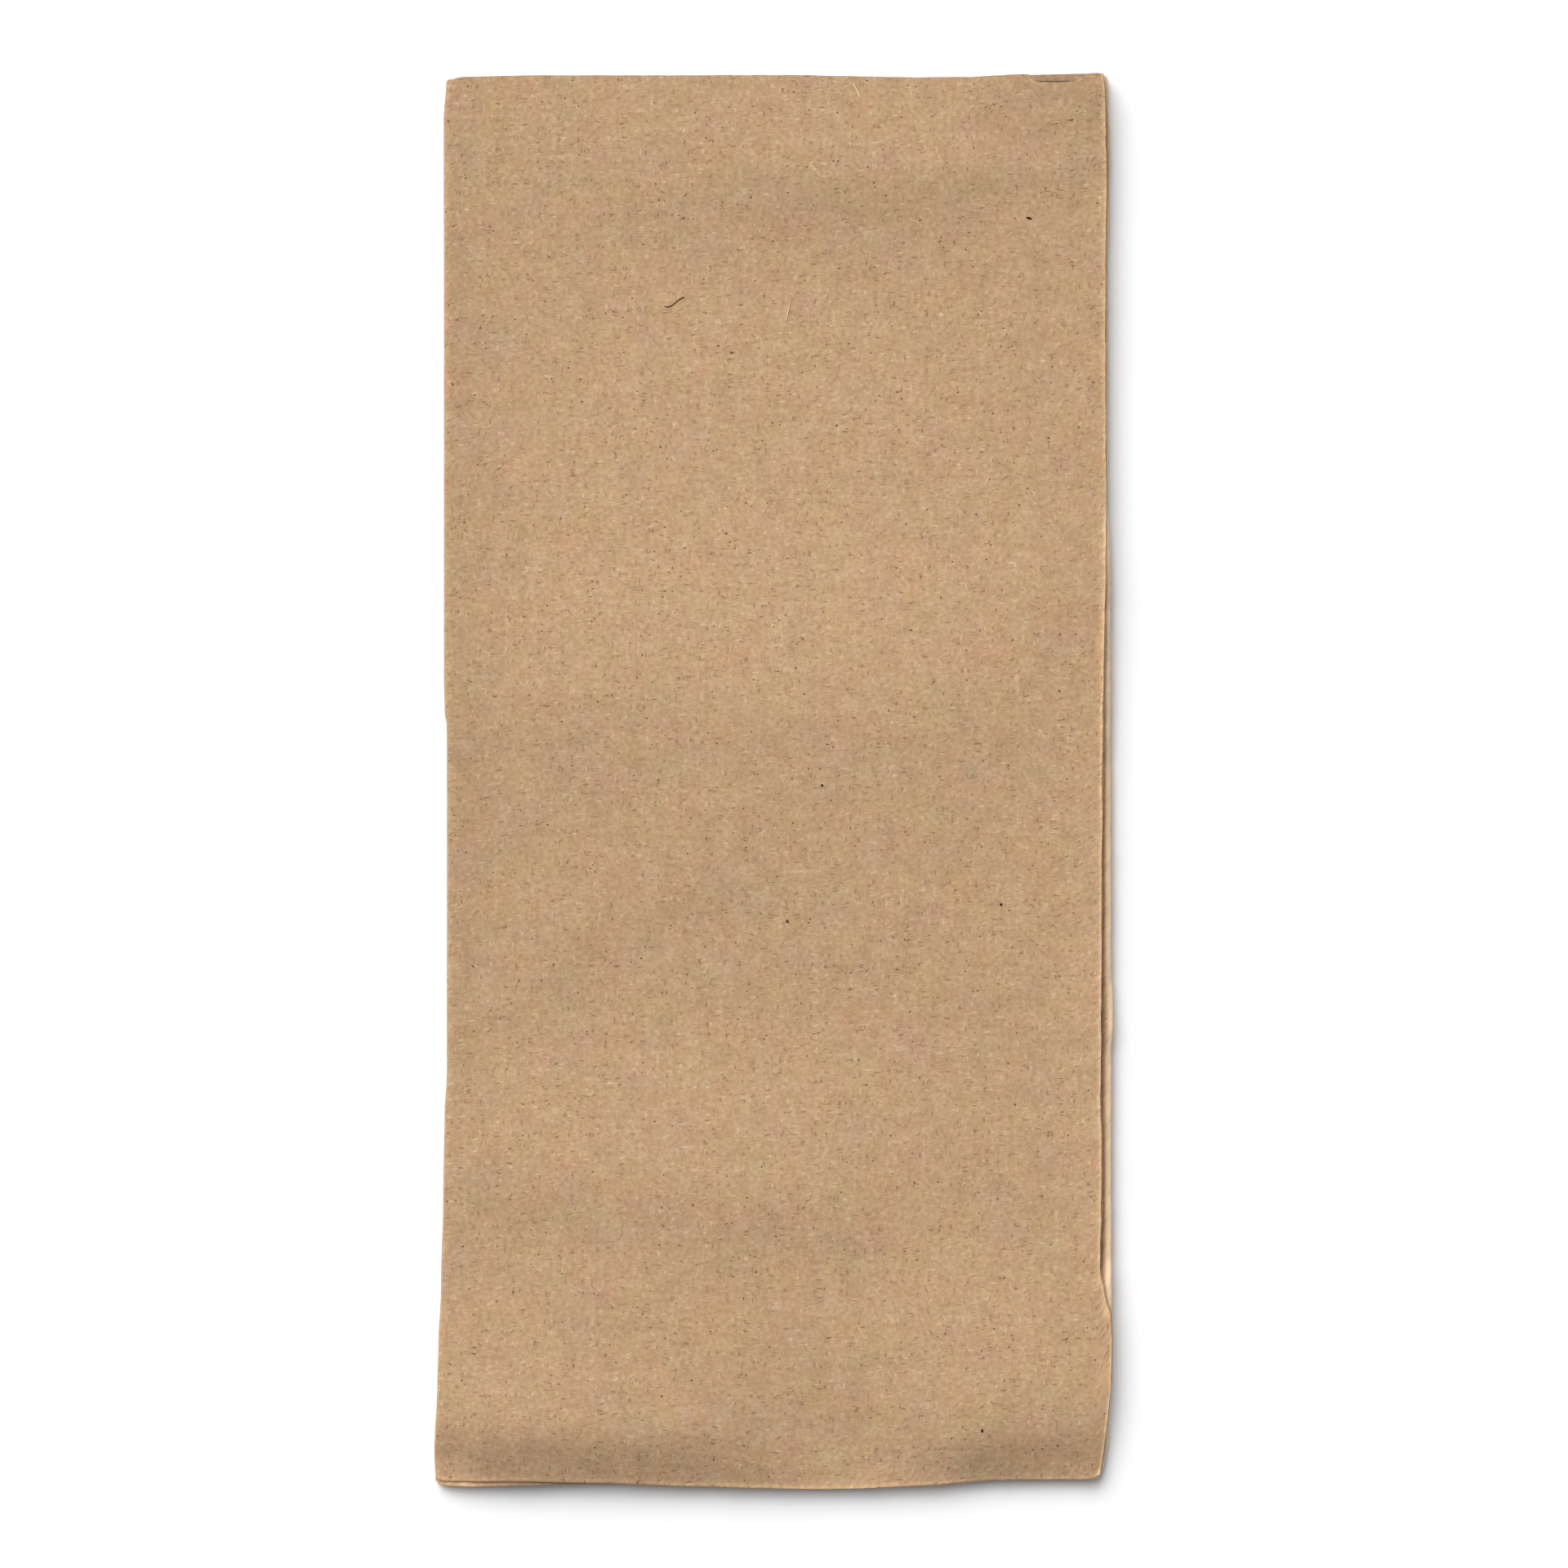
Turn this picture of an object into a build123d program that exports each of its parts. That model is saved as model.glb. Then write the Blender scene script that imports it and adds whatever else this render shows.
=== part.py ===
from build123d import *
import os

# A paper napkin: one square-cut tissue sheet in a one-eighth fold, lying flat.
# Fold one runs lengthwise, fold two across, and fold three lengthwise again, which gives eight layers.
# Millimetres, +Z up. +Y runs from the cross fold to the cut edges, and the last fold is at -X.

# --- the sheet ---
sheet_thickness = 0.24
layer_gap = 0.16  # air left between two layers at rest

# --- the folded napkin ---
folded_width = 102.5  # from the last fold to the first fold, in the lower half
folded_length = 216.0  # from the cross fold to the cut edges
upper_edge_inset = 1.25  # how far the top layer stops short of the lower half
inner_edge_inset = 0.75  # the same for the layers under the top one
layers_per_half = 4

# --- derived sizes ---
pitch = sheet_thickness + layer_gap
half_height = layers_per_half * pitch - layer_gap / 2  # middle of the open seam between the halves
cross_fold_height = half_height - layers_per_half / 2 * pitch  # axis of the lower half's cross fold
first_fold_radius = pitch / 2  # middle of the paper in the tightest folds

left, right = -folded_width / 2, folded_width / 2
bottom, top = -folded_length / 2, folded_length / 2
last_fold_x = left + half_height
first_fold_x = right - first_fold_radius - sheet_thickness / 2
cross_fold_y = bottom + cross_fold_height


def bend(radius):
    """Section of a half turn of paper about the origin, open towards +x."""
    ring = Circle(radius + sheet_thickness / 2) - Circle(radius - sheet_thickness / 2)
    return ring - Pos(folded_width, 0) * Rectangle(2 * folded_width, folded_width)


def hairpin(radius, leg):
    """Section of a sheet folded back on itself: the bend, and two legs along +x."""
    legs = [Pos(leg / 2, side * radius) * Rectangle(leg, sheet_thickness) for side in (-1, 1)]
    return bend(radius) + legs


def half_turn(section, point, direction):
    """The section carried half a turn about an axis, which is how a fold closes."""
    return revolve(section, axis=Axis(point, direction), revolution_arc=180)


last_fold = ((last_fold_x, 0, half_height), (0, 1, 0))
cross_fold = ((0, cross_fold_y, cross_fold_height), (-1, 0, 0))

# --- two nested sheets of layers, each turned at the cross fold and again at the last fold ---
napkin = Part()
for radius, inset in (
    (pitch * 3 / 2, upper_edge_inset),  # bottom and top layers of each half
    (pitch / 2, inner_edge_inset),  # the two layers between them
):
    section = Plane.YZ * hairpin(radius, top - cross_fold_y)
    lower_section = Pos(last_fold_x, cross_fold_y, cross_fold_height) * section
    upper_section = Pos(0, 0, 2 * (half_height - cross_fold_height)) * lower_section
    napkin += extrude(lower_section, first_fold_x - last_fold_x)
    napkin += half_turn(lower_section, *last_fold)
    napkin += extrude(upper_section, right - inset - last_fold_x)

# --- the first fold, which closes the lower half's right edge and turns the corner with the cross fold ---
for side in (-1, 1):
    fold_height = cross_fold_height + side * pitch
    section = Pos(first_fold_x, cross_fold_y, fold_height) * (Plane.XZ * (Rot(0, 0, 180) * bend(pitch / 2)))
    napkin += extrude(section, cross_fold_y - top)
    if side < 0:
        napkin += half_turn(section, *cross_fold)

napkin.label = "napkin_sheet"

os.makedirs("parts", exist_ok=True)
export_step(napkin, "parts/napkin_sheet.step")
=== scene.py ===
from math import cos, hypot, pi, radians, sin

import bpy
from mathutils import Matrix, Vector, noise


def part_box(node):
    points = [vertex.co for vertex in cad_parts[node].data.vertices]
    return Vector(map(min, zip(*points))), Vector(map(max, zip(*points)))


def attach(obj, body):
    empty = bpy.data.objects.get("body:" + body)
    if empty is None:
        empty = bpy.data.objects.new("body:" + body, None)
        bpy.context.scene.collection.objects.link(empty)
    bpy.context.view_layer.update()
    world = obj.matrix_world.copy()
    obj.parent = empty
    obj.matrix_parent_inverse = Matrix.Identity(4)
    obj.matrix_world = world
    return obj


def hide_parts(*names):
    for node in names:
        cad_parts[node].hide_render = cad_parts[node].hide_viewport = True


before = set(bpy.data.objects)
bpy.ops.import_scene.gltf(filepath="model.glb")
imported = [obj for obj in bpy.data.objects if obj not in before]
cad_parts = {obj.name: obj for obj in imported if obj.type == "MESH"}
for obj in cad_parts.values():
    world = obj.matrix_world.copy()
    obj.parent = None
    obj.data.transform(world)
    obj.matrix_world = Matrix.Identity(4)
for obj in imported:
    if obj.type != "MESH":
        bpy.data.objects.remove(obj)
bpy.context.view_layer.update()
bpy.ops.object.select_all(action="DESELECT")  # the CAD node comes in selected
low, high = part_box("napkin_sheet")
mm = 0.001
print("frame loaded, folded size", [round((b - a) / mm, 2) for a, b in zip(low, high)])

# Shapes below are worked out in millimetres from the middle of the napkin, +Y towards the cut edges.
napkin = {
    "cutWidth": 406.4,
    "cutLength": 431.8,
    "thickness": 0.14,
    "looseGap": 0.425,  # spacing of the layers where the stack is puffy
    "pressedGap": 0.185,  # and where the fold presses it thin
    "foldDepth": 0.10,  # how far the tightest fold stands out
    "foldRoundness": 0.18,  # 1 is a round fold, 0 a knife crease
    "halfLength": 108,
    "gridStart": -107,  # where the long sides are read from, and over what length
    "gridLength": 215,
    "panelWidth": 101.2,
    "longFoldArc": 1.1,  # length of tissue round the last fold, in mm a radian
    "tightFoldArc": 0.4,  # and round the other two
    # outlines, as (place along the edge, place across it)
    "leftFold": [(-108, -52.3), (-103, -52.5), (-92, -52.0), (-86, -51.85), (-77, -51.45), (-62, -51.1),
                 (-50, -50.9), (-44, -50.55), (9.3, -50.55), (11.8, -50.9), (17, -51.0), (74, -51.0),
                 (103, -51.05), (108, -50.65)],
    "upperSide": [(-108, 48.9), (-106.5, 49.6), (-105, 50.0), (-103.5, 50.2), (-101, 50.42), (-99, 50.72),
                  (-96, 51.1), (-90, 51.22), (-85, 51.1), (-82, 50.45), (-79, 50.0), (-77, 49.6),
                  (-75, 49.42), (-73, 49.45), (-66, 49.65), (-58, 49.7), (-50, 49.52), (-40, 49.62),
                  (-16, 49.7), (0, 49.78), (10, 49.9), (20, 50.05), (30, 50.27), (41, 50.4), (54, 50.27),
                  (78, 50.27), (92, 50.42), (100, 50.32), (105, 50.15), (108, 49.9)],
    "lowerSide": [(-108, 49.6), (-106, 50.3), (-104, 50.8), (-99, 50.98), (-96, 51.24), (-90, 51.31),
                  (-84, 51.27), (-44, 51.25), (-40, 51.52), (-36, 51.52), (-31, 51.25), (-4, 51.2),
                  (6, 51.12), (33, 51.12), (37, 51.02), (41, 50.74), (80, 50.74), (84, 50.85), (88, 50.98),
                  (92, 50.9), (96, 51.12), (100, 50.93), (104, 50.76), (108, 50.65)],
    "crossFold": [(-52.5, -106.9), (-51.3, -107.4), (-46, -107.42), (-38, -107.38), (-34, -107.5),
                  (-26, -107.62), (-20.5, -107.9), (-14.5, -108.12), (-8.5, -108.26), (-2.5, -108.45),
                  (6, -108.58), (12.5, -108.5), (18.5, -108.2), (24.5, -107.98), (27.5, -107.65),
                  (33.5, -107.26), (37, -107.2), (47.4, -107.18), (48.7, -106.95), (49.4, -106.4),
                  (50.0, -105.6), (50.6, -104.6), (51.3, -103.0)],
    "lowerFoldDrop": [(-52, 0.78), (-46, 0.85), (-42, 0.75), (-38, 0.6), (-33, 0.3), (-26, 0.1),
                      (-20, 0.04), (52, 0.04)],
    # where the lower half stands out past the upper one it springs up by this much
    "lowerFoldSpring": [(-52, 0.45), (-48, 0.6), (-42, 0.75), (-36, 0.55), (-28, 0.4), (-20, 0.0)],
    "springFrom": 0.28,  # from this far above the fold, over this length
    "springLength": 0.5,
    # painted highlight and shade on the rim of the cross fold, across the width
    "foldRimLightAndShade": [(-52, 0.2), (-47, 0.08), (-40, -0.05), (-23, -0.05), (-15, 0.12), (24, 0.16), (29, -0.02),
                (39, 0.0), (45, 0.12)],
    "cutEnds": [(-51.2, 106.5), (-50.2, 107.3), (-48, 107.75), (-36, 107.95), (2, 108.0), (13, 107.8),
                (22, 107.65), (28, 107.7), (38, 108.05), (47.5, 108.2), (49, 108.4), (50.2, 108.2),
                (51.2, 107.4)],
    "topLayerDip": [(38.4, 0.0), (39.8, 1.05), (45.2, 1.12), (46.8, 0.4), (50, 0.15)],
    # how hard the cross fold is pressed, across the width
    "press": [(-52, 1.0), (-38, 1.0), (-13, 1.0), (-4, 0.5), (2, 0.08), (14, 0.05), (22, 0.45), (31, 1.0),
              (44, 1.0), (50, 0.65)],
    # the pressed edge rides a little off the table
    "lift": [(-52, 0.2), (-49, 0.4), (-45, 0.75), (-38, 1.0), (-30, 1.1), (-22, 1.0), (-14, 0.85),
             (-8, 0.5), (-2, 0.3), (5, 0.05), (10, 0.05), (16, 0.14), (23, 0.16), (28, 0.45), (34, 0.45),
             (42, 0.3), (50, 0.1)],
    "liftLength": 22,
    "pressLength": 9.5,
    "pressStraight": 0.6,  # the share of that length that falls at one slope
    # the rest of the end sinks gently, most between the pressed stretches
    "sink": [(-52, 0.1), (-12, 0.1), (0, 0.36), (14, 0.36), (24, 0.2), (52, 0.2)],
    "sinkLength": 26,
    "lip": 0.02,  # the very fold stands up again by this much a layer
    "lipShare": 1 / 12,  # over this share of the pressed length
    # painted highlight and shade on the lower half where it shows past that rim
    "lowerFoldLightAndShade": [(-52, 0.38), (-46, 0.36), (-43, 0.1), (-40, -0.38), (-34, -0.22), (-28, 0.0)],
    "beadFrom": 1.7,  # the bead on the lower half's fold starts this far in from the side
    "beadWidth": 1.25,
    "beadHeight": 0.5,
    # how far that bead springs up beside the top layer, along the length
    "bead": [(-104, 0.2), (-97, 0.4), (-80, 0.6), (-75, 1.0), (30, 1.0), (36, 0.7), (40, 0.3), (53, 0.0)],
    # the side edges get a further painted highlight here, along the length
    "sideHighlight": [(-107, 0.15), (-101, 0.2), (-98, 0.32), (-85, 0.32), (-80, 0.0), (33, 0.0), (38, 0.26),
                (54, 0.2), (62, 0.0)],
    "sideGap": 0.155,  # spacing of the top half's layers where its side is pressed down
    "sideWidth": 6,
    # how far that side is pressed down onto the lower half, along the length
    "sidePress": [(-108, 1.0), (-77.5, 1.0), (-72.5, 0.15), (0, 0.1), (20, 0.5), (34, 1.0), (53, 0.6),
                  (70, 0.2)],
    "edgeDropWidth": 0.7,
    # how much the lower half falls away over that width, along the length
    "edgeDrop": [(-108, 0.08), (-100, 0.1), (-83, 0.1), (-76, 0.03), (20, 0.11), (34, 0.22), (53, 0.13),
                 (70, 0.05)],
    # soft ridges: from, to, height, how far they fall away upwards and downwards
    "ridges": [
        ((6, 90.5), (52, 96), 0.26, 7, 2.8),
        ((-18, 93), (24, 93), 0.22, 8, 6),
        ((-52, 97), (10, 97), 0.12, 6, 9),
        ((-52, 50), (-41, 45), 0.14, 6, 4),
        ((33, 12), (49, 36), 0.14, 8, 4),
        ((-40, 13), (26, 11), 0.20, 16, 6),
        ((-34, -24.5), (-9, -15), 0.20, 6, 3),
        ((-52, -39), (-36, -31), 0.20, 5, 3),
        ((-14, -8), (-2, -7), 0.12, 4, 3),
        ((18, -24), (44, -36), 0.16, 6, 5),
        ((-44, -60), (4, -63), 0.38, 11, 5),
        ((-8, -67), (10, -68), 0.20, 5, 4),
        ((22, -70), (52, -67), -0.10, 6, 6),
        ((8, -95), (46, -96), 0.24, 14, 5),
        ((-50, -93), (-34, -93), 0.16, 12, 4),
        ((47.6, -80.5), (49.6, -78.2), 0.10, 0.8, 0.8),
        ((49.8, -102), (49.7, -83), 0.07, 0.6, 0.45),
    ],
    "foldUndercut": 0.04,  # each layer down, the long fold on the right stands back by this much
    "crossFoldTightness": 0.35,  # the cross fold is sharper than the long ones
    # inner folds stand back from the ones round them by this much more, so that fewer layers cross
    "longFoldNest": 0.07,
    "crossFoldNest": 0.12,
    "cutCurl": 0.10,  # the long cut edge on top turns up by this much
    "cutCurlWidth": 0.9,
    "curl": 0.30,  # the top corner beside the cut edges lifts by this share
    "curlFrom": (24, 97),
    "curlSize": (18, 12),
    # soft waves all over: height, size, seed
    "waves": [(0.11, 17, 1.3), (0.02, 5.5, 4.1)],
    # how ragged the cut sides, the cut ends and the lower fold are
    "raggedSide": 0.10,
    "fineRaggedSide": 0.05,
    "raggedEnd": 0.07,
    "lumpyFold": 0.10,
    # hidden layers: how far their cut side lies out and their cut end lies back, and how much each wanders
    "hiddenSide": (0.12, 0.22),
    "hiddenEnd": (0.1, 0.25),
    # places on the top panel with painted light and shade, a little paler or darker: middle, half sizes,
    # change
    "shadingPatches": [
        ((-4, 44), (44, 33), 0.050),
        ((-8, 24), (40, 14), 0.030),
        ((10, 84), (34, 10), -0.035),
        ((-6, -12), (48, 24), -0.028),
        ((-16, -49), (34, 11), 0.030),
        ((2, -72), (16, 8), -0.035),
        ((28, -86), (22, 9), 0.040),
        ((-43, -88), (9, 9), 0.035),
        ((-22, -103), (24, 5), -0.045),
        ((40, 104), (11, 6), -0.050),
        ((-50, 28), (7, 80), -0.055),
        ((48, -38), (5, 30), 0.050),
        ((33, -106), (5, 3), -0.090),
        ((-51, -106.5), (5.5, 3), 0.22),
        ((-1, -106.6), (7, 1.8), -0.13),
    ],
}

tissue = {
    "base": (0.425, 0.269, 0.151),
    "dark": (0.105, 0.055, 0.026),
    "light": (0.72, 0.56, 0.38),
    # colour of the cut edge faces, paler than the base: a painted highlight of light glowing through the
    # thin tissue
    "rim": (0.50, 0.33, 0.19),
    "hueSwing": (0.19, 0.18, 0.31),
    "roughness": 0.92,
    # painted light and shade along the folds and edges, as a change in paleness; above 0.4 the painted
    # highlight goes towards cream
    "cutEdgeHighlight": 0.36,
    "longFoldHighlight": 0.75,
    "pressedShade": -0.13,
    "foldShade": -0.3,
    "underTopLayerShade": -0.18,
    # painted shadow in the slit under the top layer's cut end: how dark, from what share of the length, over
    # what span across
    "slitShadow": -0.8,
    "slitFrom": 0.9992,  # share of the length
    "slitSpan": (39, 46),
    # shares of the width where the painted edge highlights start, and how wide they are
    "cutEdgeFrom": 0.9945,
    "cutEdgeWidth": 0.005,
    "longFoldFrom": 0.985,
    "longFoldWidth": 0.013,
    "longFoldWiden": 0.006,  # it starts this much sooner below the place that follows
    "longFoldWidenAt": -76,
    "sideHighlightFrom": 0.98,
    "sideHighlightWidth": 0.008,
    "foldRimShare": 0.003,
    # the colour the painted highlights go towards
    "cream": (0.72, 0.60, 0.44),
}


def ease(t):
    t = min(max(t, 0.0), 1.0)
    return t * t * (3 - 2 * t)


# a smooth line through (place, value) pairs
def follow(pairs, at):
    if at <= pairs[0][0]:
        return pairs[0][1]
    for (a, va), (b, vb) in zip(pairs, pairs[1:]):
        if at < b:
            return va + (vb - va) * ease((at - a) / (b - a))
    return pairs[-1][1]


def ripple(x, y, size, seed):
    return noise.noise(Vector((x / size, y / size, seed)))


def ridgeHeight(x, y):
    total = 0.0
    for (ax, ay), (bx, by), height, above, below in napkin["ridges"]:
        dx, dy = bx - ax, by - ay
        length = hypot(dx, dy)
        along = ((x - ax) * dx + (y - ay) * dy) / length
        across = ((y - ay) * dx - (x - ax) * dy) / length
        reach = abs(across) / (above if across > 0 else below)
        fade = max(-along, along - length, 0) / (above + below)
        if reach < 2 and fade < 1:
            total += height * ease(1 - reach / 2) * ease(1 - fade)
    return total


# heights of the layers: 0 is the bottom one and 7 the top one, and folds pass through the values between
def layerHeight(level, x, y):
    loose, pressed = napkin["looseGap"], napkin["pressedGap"]
    fromFold = y - follow(napkin["crossFold"], x)
    up = min(max(fromFold / napkin["pressLength"], 0), 1)
    straight = napkin["pressStraight"]
    rise = (up if up < straight else up - (up - straight) ** 2 / (2 - 2 * straight)) / ((1 + straight) / 2)
    openness = 1 - follow(napkin["press"], x) * (1 - rise)
    sinkLength = napkin["sinkLength"]
    sunk = follow(napkin["sink"], x) * ease((sinkLength - napkin["halfLength"] - y) / sinkLength)
    gap = pressed + (loose * (1 - sunk) - pressed) * openness
    gap += napkin["lip"] * ease(1 - up / napkin["lipShare"])
    side = follow(napkin["lowerSide"], y) - x
    sidePress = ease(1 - side / napkin["sideWidth"]) * follow(napkin["sidePress"], y)
    upper = gap + (napkin["sideGap"] - gap) * sidePress
    lumps = 0.75 + 0.7 * ripple(0, y, 2.6, 7.7)
    bead = napkin["beadHeight"] * follow(napkin["bead"], y) * openness * lumps
    bead *= min(max((napkin["beadFrom"] - side) / napkin["beadWidth"], 0), 1)
    # the lower half takes up what the upper one gives way
    lower = (7 * gap - 4 * upper) / 3 + gap * bead
    lower *= 1 - follow(napkin["edgeDrop"], y) * ease(1 - side / napkin["edgeDropWidth"])
    (curlX, curlY), (curlWide, curlLong) = napkin["curlFrom"], napkin["curlSize"]
    upper *= 1 + napkin["curl"] * ease((x - curlX) / curlWide) * ease((y - curlY) / curlLong)
    height = lower * min(level, 3) + upper * max(level - 3, 0)
    cutCurl = ease(1 - (follow(napkin["upperSide"], y) - x) / napkin["cutCurlWidth"])
    height += napkin["cutCurl"] * max(level - 6, 0) * cutCurl
    past = ease((napkin["springFrom"] - fromFold) / napkin["springLength"])
    height += follow(napkin["lowerFoldSpring"], x) * past * max(1 - abs(level - 3) / 3, 0)
    waves = ridgeHeight(x, y) + sum(tall * ripple(x, y, size, seed) for tall, size, seed in napkin["waves"])
    lift = follow(napkin["lift"], x) * ease(1 - fromFold / napkin["liftLength"])
    return napkin["thickness"] / 2 + lift + height + waves * height / 3.0


# patches of painted light and shade on the top panel
def paintedShading(x, y):
    total = 0.0
    for (midX, midY), (halfX, halfY), change in napkin["shadingPatches"]:
        total += change * ease(1.5 - hypot((x - midX) / halfX, (y - midY) / halfY))
    return total


# painted light and shade in the tissue's colour: painted highlights along its folds and cut edges, painted
# shade in its creases and slits, and patches of painted light and shade on the top panel
def paintedLightAndShade(column, row, x, y):
    share, lastTurn, firstTurn = column
    up, crossTurn = row
    if lastTurn == pi and firstTurn == 0 and crossTurn == 0:
        # painted highlight along the top panel's cut side
        edge = tissue["cutEdgeHighlight"] + follow(napkin["sideHighlight"], y)
        edge *= ease((share - tissue["cutEdgeFrom"]) / tissue["cutEdgeWidth"])
        # painted highlight and shade along the cross fold's rim
        fold = follow(napkin["foldRimLightAndShade"], x) * ease(1 - up / tissue["foldRimShare"])
        # painted shade over the pressed band above the cross fold
        low = 1.5 * (1 - (y - follow(napkin["crossFold"], x)) / napkin["pressLength"])
        fold += tissue["pressedShade"] * follow(napkin["press"], x) * ease(low)
        # painted shadow in the slit at the top layer's cut end
        start, end = tissue["slitSpan"]
        slit = tissue["slitShadow"] * (up > tissue["slitFrom"]) * ease((x - start) / 1.5) * ease((end - x) / 2)
        return paintedShading(x, y) + edge + fold + slit
    if lastTurn == 0:
        # painted highlight along the long fold where the lower half shows beside the top panel
        widen = tissue["longFoldWiden"] * ease((tissue["longFoldWidenAt"] - y) / 4)
        rim = (share - tissue["longFoldFrom"] + widen) / tissue["longFoldWidth"]
        fold = tissue["longFoldHighlight"] * ease(rim)
        # further painted highlight along the right side
        fold += follow(napkin["sideHighlight"], y) * ease((share - tissue["sideHighlightFrom"]) / tissue["sideHighlightWidth"])
        if 0 < crossTurn < 2:
            # painted shade on the side of the lower half's cross fold
            return fold + 1.5 * tissue["foldShade"] * ease((x + 44) / 4) * ease((-4 - x) / 6)
        # painted highlight and shade where the lower half shows past the upper half's fold
        return fold + follow(napkin["lowerFoldLightAndShade"], x) * (crossTurn > 0) * ease((-106.5 - y) / 0.4)
    if 0 < crossTurn < pi:
        # painted shade on the upper half's cross fold, and left of x -33 a painted highlight in the crease
        # instead
        return tissue["foldShade"] * ease(crossTurn / 1.2) * (ease((x + 34) / 10) - 2 * ease((-33 - x) / 3))
    # painted shade on the layer under the top one, beside its cut end at the top right
    if firstTurn == pi and crossTurn == 0 and y > 105:
        return tissue["underTopLayerShade"] * ease((x - 36) / 4) * ease((50 - x) / 3)
    return 0.0


# how far out a fold round this many layers stands
def foldOut(radius):
    return napkin["foldDepth"] + napkin["foldRoundness"] * napkin["looseGap"] * radius


# Lines of the flat grid: shares of a panel between two folds, finer near its edges, and steps round a fold.
def panel(start, end, *runs):
    shares, done = [], 0.0
    for part, steps in runs:
        shares += [done + part * i / steps for i in range(steps)]
        done += part
    return [(start + (end - start) * s, 0.0) for s in shares]


def roundFold(share, steps, first, last):
    return [(share, first + (last - first) * i / steps) for i in range(steps)]


# Each column is (share across the half, angle round the last fold, angle round the first fold).
def columns():
    made = []
    made += [(s, pi, 0.0) for s, _ in panel(1, 0, (0.005, 2), (0.02, 6), (0.18, 18), (0.755, 38), (0.04, 5))]
    made += [(s, t, 0.0) for s, t in roundFold(0, 9, pi, 0)]
    made += [(s, 0.0, 0.0) for s, _ in panel(0, 1, (0.04, 4), (0.90, 11), (0.045, 8), (0.015, 6))]
    made += [(s, 0.0, t) for s, t in roundFold(1, 6, 0, pi)]
    made += [(s, 0.0, pi) for s, _ in panel(1, 0, (0.015, 6), (0.045, 8), (0.90, 11), (0.04, 4))]
    made += [(s, t, pi) for s, t in roundFold(0, 9, 0, pi)]
    made += [(s, pi, pi) for s, _ in panel(0, 1, (0.04, 4), (0.93, 12), (0.03, 4))]
    return made + [(1, pi, pi)]


# Each row is (share up the length, angle round the cross fold).
def rows():
    made = []
    made += panel(1, 0, (0.001, 2), (0.014, 5), (0.96, 117), (0.022, 6), (0.003, 3))
    made += roundFold(0, 8, 0, pi)
    made += [(s, pi) for s, _ in panel(0, 1, (0.004, 5), (0.021, 4), (0.96, 114), (0.015, 4))]
    return made + [(1, pi)]


# where a point of the flat sheet ends up when it is folded
def place(column, row):
    share, lastTurn, firstTurn = column
    up, crossTurn = row
    inner = 0.5 - 0.5 * cos(firstTurn)
    halfLevel = 1.5 - (1.5 - inner) * cos(crossTurn)
    level = 3.5 - (3.5 - halfLevel) * cos(lastTurn)
    upperShare = 0.5 - 0.5 * cos(lastTurn)
    onTopPanel = level > 6.9
    # the sides are read as if the napkin were a plain rectangle
    y = napkin["gridStart"] + up * napkin["gridLength"]
    left = follow(napkin["leftFold"], y) + foldOut(3.5) + napkin["longFoldNest"] * halfLevel
    upperSide = follow(napkin["upperSide"], y) + napkin["raggedSide"] * ripple(level * 9, y, 3, 2.2)
    upperSide += napkin["fineRaggedSide"] * ripple(level, y, 1.1, 5)
    if not onTopPanel:
        out, wander = napkin["hiddenSide"]
        upperSide += out + wander * ripple(level * 5, y, 21, 8.8)
    lowerSide = follow(napkin["lowerSide"], y) + napkin["lumpyFold"] * ripple(halfLevel, y, 3.4, 6.1)
    lowerSide -= foldOut(0.5) + napkin["foldUndercut"] * (2.5 - halfLevel)
    side = upperShare * upperSide + (1 - upperShare) * lowerSide
    x = left + share * (side - left)
    x += foldOut(0.5) * sin(firstTurn) - foldOut(3.5 - halfLevel) * sin(lastTurn)
    tight = napkin["crossFoldTightness"]
    near = follow(napkin["crossFold"], x) + tight * foldOut(1.5) + napkin["crossFoldNest"] * inner
    near -= (1 - upperShare) * follow(napkin["lowerFoldDrop"], x)
    far = follow(napkin["cutEnds"], x) + napkin["raggedEnd"] * ripple(x, level * 4, 2.5, 3.3)
    if onTopPanel:
        far -= follow(napkin["topLayerDip"], x)
    else:
        back, wander = napkin["hiddenEnd"]
        far -= (back + wander * ripple(x, level * 7, 25, 9.1)) * ease((38 - x) / 4)
    y = near + up * (far - near) - tight * foldOut(1.5 - inner) * sin(crossTurn)
    return x, y, layerHeight(level, x, y)


# how far along the flat sheet each row or column lies, for the tissue's pattern
def flatPlaces(stations, length, arcs):
    steps = []
    for a, b in zip(stations, stations[1:]):
        turned = sum(abs(p - q) * arc for p, q, arc in zip(a[1:], b[1:], arcs))
        steps.append(abs(b[0] - a[0]) * length + turned)
    return [sum(steps[:i]) for i in range(len(stations))]


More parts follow.
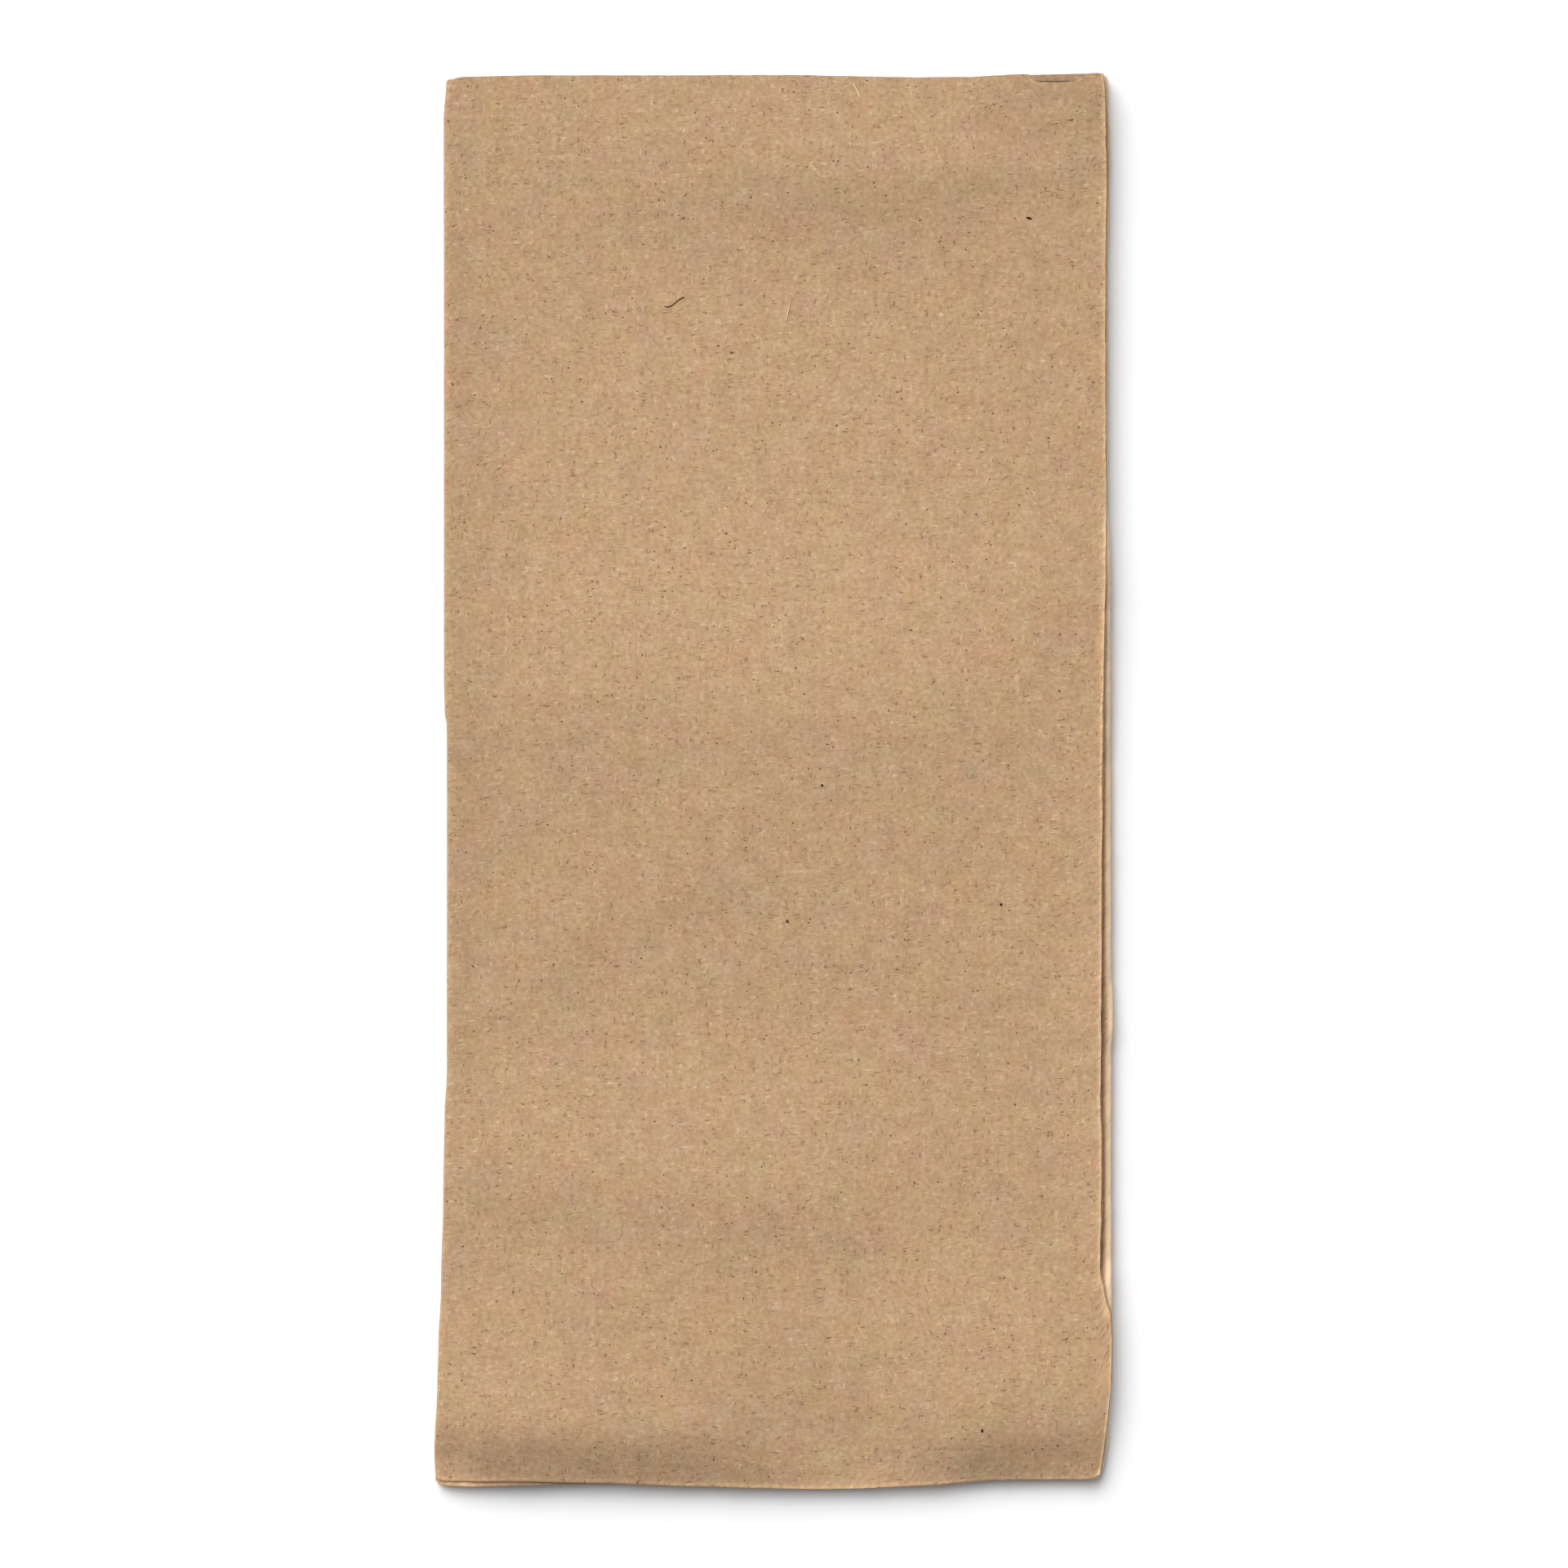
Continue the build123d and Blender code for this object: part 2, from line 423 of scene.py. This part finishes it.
def addNapkin():
    across, along = columns(), rows()
    bpy.ops.mesh.primitive_grid_add(x_subdivisions=len(across) - 1, y_subdivisions=len(along) - 1,
                                    size=1, calc_uvs=False)
    piece = bpy.context.object
    piece.name = piece.data.name = "foldedNapkin"
    u = flatPlaces(across, napkin["panelWidth"], (napkin["longFoldArc"], napkin["tightFoldArc"]))
    v = flatPlaces(along, napkin["gridLength"], (napkin["tightFoldArc"],))
    wide = len(across)
    for vertex in piece.data.vertices:
        j, i = divmod(vertex.index, wide)
        vertex.co = Vector(place(across[i], along[j])) * mm
    # painted light and shade, kept on each point for the material
    tone = piece.data.attributes.new("paintedShading", "FLOAT", "POINT")
    for vertex in piece.data.vertices:
        j, i = divmod(vertex.index, wide)
        tone.data[vertex.index].value = paintedLightAndShade(across[i], along[j], vertex.co.x / mm, vertex.co.y / mm)
    flat = piece.data.uv_layers.new(name="flatSheet")
    for loop in piece.data.loops:
        j, i = divmod(loop.vertex_index, wide)
        flat.data[loop.index].uv = (u[i], v[j])
    solid = piece.modifiers.new("ply", "SOLIDIFY")
    solid.thickness, solid.offset, solid.use_even_offset = napkin["thickness"] * mm, 0, False
    solid.material_offset_rim = 1
    bpy.ops.object.modifier_apply(modifier=solid.name)
    bpy.ops.object.mode_set(mode="EDIT")
    bpy.ops.mesh.select_all(action="SELECT")
    bpy.ops.mesh.normals_make_consistent(inside=False)
    bpy.ops.object.mode_set(mode="OBJECT")
    bpy.ops.object.shade_smooth_by_angle(angle=radians(50))
    return piece


def addNode(tree, kind, inputs=None, **settings):
    node = tree.nodes.new(kind)
    for name, value in settings.items():
        setattr(node, name, value)
    for name, value in (inputs or {}).items():
        if isinstance(value, bpy.types.NodeSocket):
            tree.links.new(value, node.inputs[name])
        else:
            node.inputs[name].default_value = value
    return node


def maths(tree, operation, a, b=0.0, c=0.0):
    return addNode(tree, "ShaderNodeMath", {0: a, 1: b, 2: c}, operation=operation).outputs[0]


# fibres as thin stretched spots: one random number for each decides how dark or light it is
def fibres(tree, coords, turn, length, width, share, bias):
    laid = addNode(tree, "ShaderNodeMapping", {"Vector": coords, "Rotation": (0, 0, radians(turn)),
                                               "Scale": (2 * length, 2 * width, 1)}, vector_type="TEXTURE")
    cell = addNode(tree, "ShaderNodeTexVoronoi", {"Vector": laid.outputs[0], "Scale": 1.0},
                   voronoi_dimensions="2D", feature="F1")
    spot = addNode(tree, "ShaderNodeMapRange", {"Value": cell.outputs["Distance"], "From Min": 0.30,
                                                "From Max": 0.14, "To Min": 0.0, "To Max": 1.0})
    pick = addNode(tree, "ShaderNodeSeparateColor", {"Color": cell.outputs["Color"]})
    tone = maths(tree, "SUBTRACT", pick.outputs[0], bias)
    seen = maths(tree, "GREATER_THAN", pick.outputs[1], 1 - share)
    return maths(tree, "MULTIPLY", maths(tree, "MULTIPLY", spot.outputs[0], tone), seen)


def tissueMaterial(name, base, fuzz):
    material = bpy.data.materials.new(name)
    material.use_nodes = True
    tree = material.node_tree
    shader = tree.nodes["Principled BSDF"]
    shader.inputs["Roughness"].default_value = tissue["roughness"]
    shader.inputs["Specular IOR Level"].default_value = 0.18
    shader.inputs["Sheen Weight"].default_value = 0.08
    shader.inputs["Sheen Roughness"].default_value = 0.6
    sheetPlace = addNode(tree, "ShaderNodeUVMap", uv_map="flatSheet").outputs[0]
    wander = addNode(tree, "ShaderNodeTexNoise", {"Vector": sheetPlace, "Scale": 0.35, "Detail": 2.0},
                     noise_dimensions="2D")
    shift = addNode(tree, "ShaderNodeVectorMath", {0: wander.outputs["Color"], 1: (0.5, 0.5, 0.5)},
                    operation="SUBTRACT")
    coords = addNode(tree, "ShaderNodeVectorMath", {0: shift.outputs[0], 1: (1.1, 1.1, 0), 2: sheetPlace},
                     operation="MULTIPLY_ADD").outputs[0]
    tone = None
    for turn, length, width, share, bias, weight in (
        (2, 0.95, 0.25, 0.40, 0.58, 0.43),
        (89, 0.80, 0.25, 0.38, 0.58, 0.40),
        (22, 0.75, 0.24, 0.28, 0.56, 0.27),
        (-35, 0.75, 0.24, 0.28, 0.56, 0.25),
        (10, 0.30, 0.26, 0.02, 1.20, 0.60),
    ):
        layer = maths(tree, "MULTIPLY", fibres(tree, coords, turn, length, width, share, bias), weight)
        tone = layer if tone is None else maths(tree, "ADD", tone, layer)
    for scale, detail, weight in ((1.4, 3.0, 0.27), (0.35, 3.0, 0.18)):
        cloud = addNode(tree, "ShaderNodeTexNoise", {"Vector": sheetPlace, "Scale": scale, "Detail": detail},
                        noise_dimensions="2D")
        centred = maths(tree, "SUBTRACT", cloud.outputs["Fac"], 0.5)
        tone = maths(tree, "MULTIPLY_ADD", centred, weight, tone)
    ramp = addNode(tree, "ShaderNodeValToRGB", {"Fac": maths(tree, "ADD", tone, 0.5)})
    stops = ramp.color_ramp.elements
    stops[0].position, stops[0].color = 0.0, (*tissue["dark"], 1)
    stops[1].position, stops[1].color = 1.0, (*tissue["light"], 1)
    middle = stops.new(0.5)
    middle.color = (*base, 1)
    # faint olive, pink and yellow clouds, and the painted light and shade
    clouds = addNode(tree, "ShaderNodeTexNoise", {"Vector": sheetPlace, "Scale": 0.14, "Detail": 4.0,
                                                  "Roughness": 0.72}, noise_dimensions="2D")
    swing = tissue["hueSwing"]
    rest = [1 - part / 2 for part in swing]
    hue = addNode(tree, "ShaderNodeVectorMath", {0: clouds.outputs["Color"], 1: swing, 2: rest},
                  operation="MULTIPLY_ADD")
    pale = addNode(tree, "ShaderNodeAttribute", attribute_name="paintedShading").outputs["Fac"]
    tinted = addNode(tree, "ShaderNodeVectorMath", {0: ramp.outputs[0], 1: hue.outputs[0]},
                     operation="MULTIPLY")
    brighter = maths(tree, "ADD", pale, 1.0)
    paled = addNode(tree, "ShaderNodeVectorMath", {0: tinted.outputs[0], "Scale": brighter},
                    operation="SCALE")
    # above 0.4 the painted highlight blends towards cream
    highlightShare = addNode(tree, "ShaderNodeMapRange", {"Value": pale, "From Min": 0.4, "From Max": 1.0})
    cream = (*tissue["cream"], 1)
    mixed = addNode(tree, "ShaderNodeMix", {0: highlightShare.outputs[0], 6: paled.outputs[0], 7: cream},
                    data_type="RGBA")
    tree.links.new(mixed.outputs[2], shader.inputs["Base Color"])
    grain = addNode(tree, "ShaderNodeTexNoise", {"Vector": sheetPlace, "Scale": 3.2, "Detail": 4.0},
                    noise_dimensions="2D")
    raised = fibres(tree, coords, 5, 1.0, 0.20, 0.5, 0.1)
    height = maths(tree, "MULTIPLY_ADD", grain.outputs["Fac"], 0.8, raised)
    bump = addNode(tree, "ShaderNodeBump", {"Height": height, "Strength": fuzz, "Distance": 0.04 * mm})
    tree.links.new(bump.outputs[0], shader.inputs["Normal"])
    return material


sheetPiece = addNapkin()
sheetPiece.data.materials.append(tissueMaterial("kraftTissue", tissue["base"], 0.55))
# the cut edge faces take the paler rim colour, a painted highlight
sheetPiece.data.materials.append(tissueMaterial("kraftTissueLitEdge", tissue["rim"], 0.8))
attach(sheetPiece, "root")
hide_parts("napkin_sheet")
print("folded napkin:", len(sheetPiece.data.polygons), "faces")

# specks and loose strands in the top panel, in millimetres
marks = {
    "colours": {"black": (0.018, 0.008, 0.003), "brown": (0.125, 0.050, 0.018), "straw": (0.78, 0.62, 0.38),
                "blond": (0.62, 0.42, 0.28)},
    "raised": 0.04,  # half height of a speck
    "clear": 0.02,  # how far above the tissue its middle lies
    # place, half length, half width, turn in degrees, colour
    "specks": [
        ((38.62, 86.09), 0.44, 0.19, -14, "black"),
        ((-6.88, 65.53), 0.20, 0.17, 0, "brown"),
        ((6.93, -0.72), 0.22, 0.17, 80, "black"),
        ((34.32, -18.95), 0.24, 0.18, 80, "black"),
        ((1.58, -21.50), 0.28, 0.22, 85, "brown"),
        ((31.43, -99.50), 0.26, 0.17, 75, "black"),
    ],
    # five points along each strand, its width and colour
    "strands": [
        ([(-17.2, 72.6), (-16.3, 72.35), (-15.75, 72.75), (-15.0, 74.0), (-14.2, 73.95)], 0.18, "brown"),
        ([(11.75, 106.6), (11.95, 106.2), (12.2, 105.8), (12.45, 105.3), (12.7, 104.65)], 0.16, "straw"),
        ([(2.1, 73.45), (2.0, 72.8), (1.85, 72.2), (1.65, 71.3), (1.45, 70.4)], 0.18, "blond"),
    ],
}


def topPoint(x, y):
    return Vector((x, y, layerHeight(7, x, y) + napkin["thickness"] / 2 + marks["clear"])) * mm


def addMarks():
    parts = []
    for points, width, colour in marks["strands"]:
        bpy.ops.curve.primitive_nurbs_path_add(location=(0, 0, 0))
        strand = bpy.context.object
        for point, (x, y) in zip(strand.data.splines[0].points, points):
            point.co = (*topPoint(x, y), 1)
        strand.data.bevel_depth, strand.data.bevel_resolution = width / 2 * mm, 1
        strand.data.resolution_u, strand.data.use_fill_caps = 4, True
        bpy.ops.object.convert(target="MESH")
        parts.append((bpy.context.object, colour))
    for (x, y), halfLength, halfWidth, angle, colour in marks["specks"]:
        bpy.ops.mesh.primitive_ico_sphere_add(subdivisions=2, radius=mm, location=topPoint(x, y),
                                              rotation=(0, 0, radians(angle)))
        speck = bpy.context.object
        speck.scale = (halfLength, halfWidth, marks["raised"])
        parts.append((speck, colour))
    for part, colour in parts:
        part.data.materials.append(markMaterials[colour])
    bpy.ops.object.select_all(action="DESELECT")
    for part, colour in parts:
        part.select_set(True)
    bpy.context.view_layer.objects.active = parts[0][0]
    bpy.ops.object.join()
    piece = bpy.context.object
    piece.name = piece.data.name = "surfaceFibres"
    bpy.ops.object.shade_smooth()
    return piece


markMaterials = {}
for colour, value in marks["colours"].items():
    markMaterials[colour] = bpy.data.materials.new(colour + "Fibre")
    markMaterials[colour].use_nodes = True
    shader = markMaterials[colour].node_tree.nodes["Principled BSDF"]
    shader.inputs["Base Color"].default_value = (*value, 1)
    shader.inputs["Roughness"].default_value = 1.0
    shader.inputs["Specular IOR Level"].default_value = 0.0
fibrePiece = addMarks()
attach(fibrePiece, "root")
print("surface fibres:", len(fibrePiece.data.polygons), "faces")

# floor, lights and camera
studio = {
    "viewWidth": 240.0,
    "lens": 100.0,
    "sensor": 36.0,
    "aim": (1.1, -0.5),
    # heading is clockwise from +Y, so the light comes over the cut ends and a little from the left
    "lights": [
        {"name": "keyLight", "heading": -36, "elevation": 38, "spread": 62, "strength": 3.42},
        {"name": "lowLight", "heading": -16, "elevation": 28, "spread": 50, "strength": 1.84},
    ],
    "worldStrength": 0.28,
}

bpy.ops.mesh.primitive_plane_add(size=6, location=(0, 0, 0))
floor = bpy.context.object
floor.name = "floor"
paper = bpy.data.materials.new("whiteFloor")
paper.use_nodes = True
floorShader = paper.node_tree.nodes["Principled BSDF"]
floorShader.inputs["Base Color"].default_value = (0.88, 0.88, 0.885, 1)
floorShader.inputs["Roughness"].default_value = 1.0
floorShader.inputs["Specular IOR Level"].default_value = 0.0
floor.data.materials.append(paper)

for lamp in studio["lights"]:
    heading, rise = radians(lamp["heading"]), radians(lamp["elevation"])
    towards = Vector((sin(heading) * cos(rise), cos(heading) * cos(rise), sin(rise)))
    bpy.ops.object.light_add(type="SUN", location=towards)
    sun = bpy.context.object
    sun.name = lamp["name"]
    sun.data.angle, sun.data.energy = radians(lamp["spread"]), lamp["strength"]
    sun.rotation_euler = towards.to_track_quat("Z", "Y").to_euler()

world = bpy.data.worlds.new("softWhite")
world.use_nodes = True
sky = world.node_tree.nodes["Background"]
sky.inputs["Color"].default_value = (1.0, 1.0, 1.0, 1)
sky.inputs["Strength"].default_value = studio["worldStrength"]
bpy.context.scene.world = world

widthShare = studio["sensor"] / studio["lens"]  # the view's width at a distance of 1
above = studio["viewWidth"] * mm / widthShare + high[2]
bpy.ops.object.camera_add(location=(studio["aim"][0] * mm, studio["aim"][1] * mm, above), rotation=(0, 0, 0))
camera = bpy.context.object
camera.data.lens = studio["lens"]
bpy.context.scene.camera = camera
bpy.context.scene.view_settings.view_transform = "Standard"
bpy.context.scene.view_settings.look = "None"
print("studio set")
